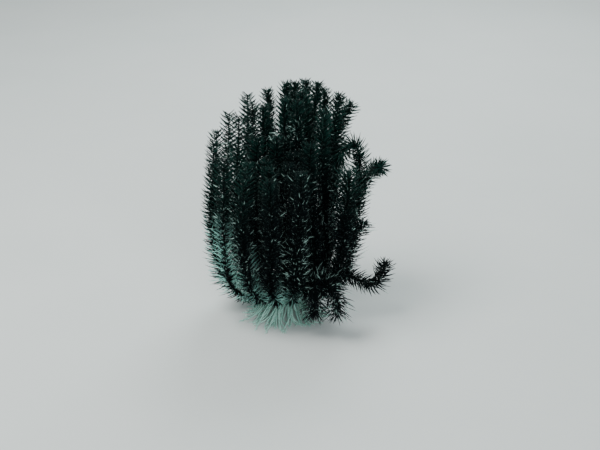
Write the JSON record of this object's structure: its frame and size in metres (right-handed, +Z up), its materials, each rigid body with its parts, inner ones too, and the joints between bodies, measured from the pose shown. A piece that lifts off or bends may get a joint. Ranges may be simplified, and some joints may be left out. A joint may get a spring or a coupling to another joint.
{
  "type": "feather star",
  "caption": "Life-size model of a black bushy feather star standing on pale cirri, its feathery arms raised in a tall upright fan.",
  "frame": {"origin": "on the floor, under the middle of the whole animal's outline seen from above", "axes": "+Z up along the raised arms, -Y the side that faces the picture's camera, +X the animal's right-hand side as the camera sees it, where an arm hooks over and another curls up low"},
  "size_m": [0.1724, 0.1312, 0.2082],
  "materials": {
    "arms": "near-black living arm with a faint blue-green sheen, pale turquoise on the lowest pinnules",
    "cirri": "pale turquoise jointed cirri",
    "disc": "dark soft skin"
  },
  "bodies": {
    "root": {"arm_01": "arms", "arm_02": "arms", "arm_03": "arms", "arm_04": "arms", "arm_05": "arms", "arm_06": "arms", "arm_07": "arms", "arm_08": "arms", "arm_09": "arms", "arm_10": "arms", "arm_11": "arms", "arm_11_end": "arms", "arm_12": "arms", "arm_13": "arms", "arm_13_end": "arms", "arm_14": "arms", "arm_15": "arms", "arm_15_end": "arms", "arm_16": "arms", "arm_17": "arms", "arm_18": "arms", "arm_18_end": "arms", "arm_19": "arms", "arm_20": "arms", "arm_21": "arms", "arm_21_end": "arms", "arm_22": "arms", "arm_23": "arms", "arm_23_end": "arms", "arm_24": "arms", "arm_25": "arms", "arm_25_end": "arms", "arm_26": "arms", "arm_27": "arms", "arm_28": "arms", "arm_28_end": "arms", "arm_29": "arms", "arm_29_end": "arms", "arm_30": "arms", "arm_31": "arms", "arm_31_end": "arms", "arm_32": "arms", "arm_32_end": "arms", "arm_33": "arms", "arm_34": "arms", "arm_35": "arms", "arm_35_end": "arms", "arm_36": "arms", "arm_36_end": "arms", "arm_37": "arms", "arm_38": "arms", "arm_39": "arms", "arm_40": "arms", "centrodorsal": "cirri", "disc": "disc", "ray_1": "arms", "ray_2": "arms", "ray_3": "arms", "ray_4": "arms", "ray_5": "arms"}
  },
  "joints": []
}
